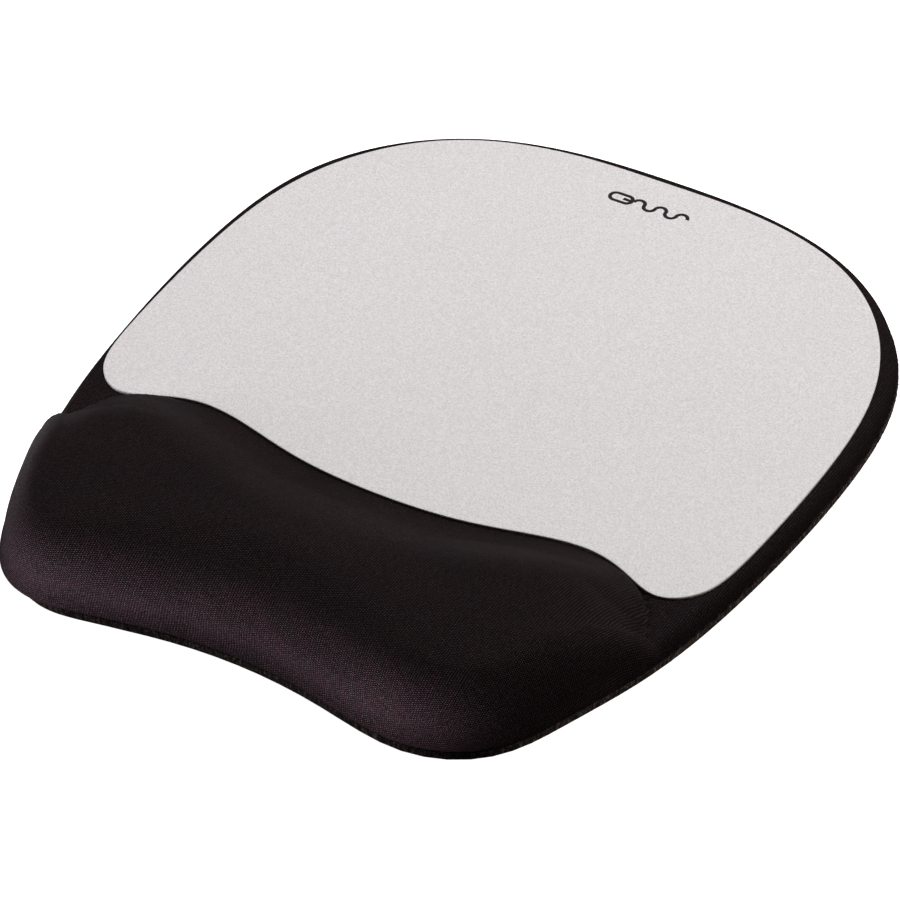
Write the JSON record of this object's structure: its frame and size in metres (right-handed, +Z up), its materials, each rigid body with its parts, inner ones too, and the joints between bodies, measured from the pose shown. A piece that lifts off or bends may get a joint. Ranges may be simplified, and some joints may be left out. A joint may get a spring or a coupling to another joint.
{
  "type": "mouse pad wrist rest",
  "caption": "Flat mouse pad with a smooth silver tracking sheet and a raised, knit-covered memory-foam cushion along its front edge for the wrist.",
  "frame": {"origin": "on the desk, under the middle of the outline", "axes": "+X to the user's right, +Y away from the user from the cushion towards the pad's back edge, +Z up"},
  "size_m": [0.2016, 0.235, 0.0254],
  "materials": {
    "base_rubber": "matt moulded rubber with fine grooves underneath",
    "adhesive": "thin translucent adhesive film, hidden",
    "firm_foam": "closed-cell foam sheet, hidden",
    "memory_foam": "open-cell memory foam, hidden",
    "black_knit": "fine stretch knit with a soft sheen",
    "silver_sheet": "silver film with a fine matt grain",
    "dark_ink": "flat printed ink"
  },
  "bodies": {
    "root": {"non_slip_base": "base_rubber", "pad_bond_film": "adhesive", "pad_core": "firm_foam", "cushion_bond_film": "adhesive", "cushion_core": "memory_foam", "fabric_cover": "black_knit", "surface_bond_film": "adhesive", "tracking_surface": "silver_sheet", "printed_mark": "dark_ink"}
  },
  "joints": []
}
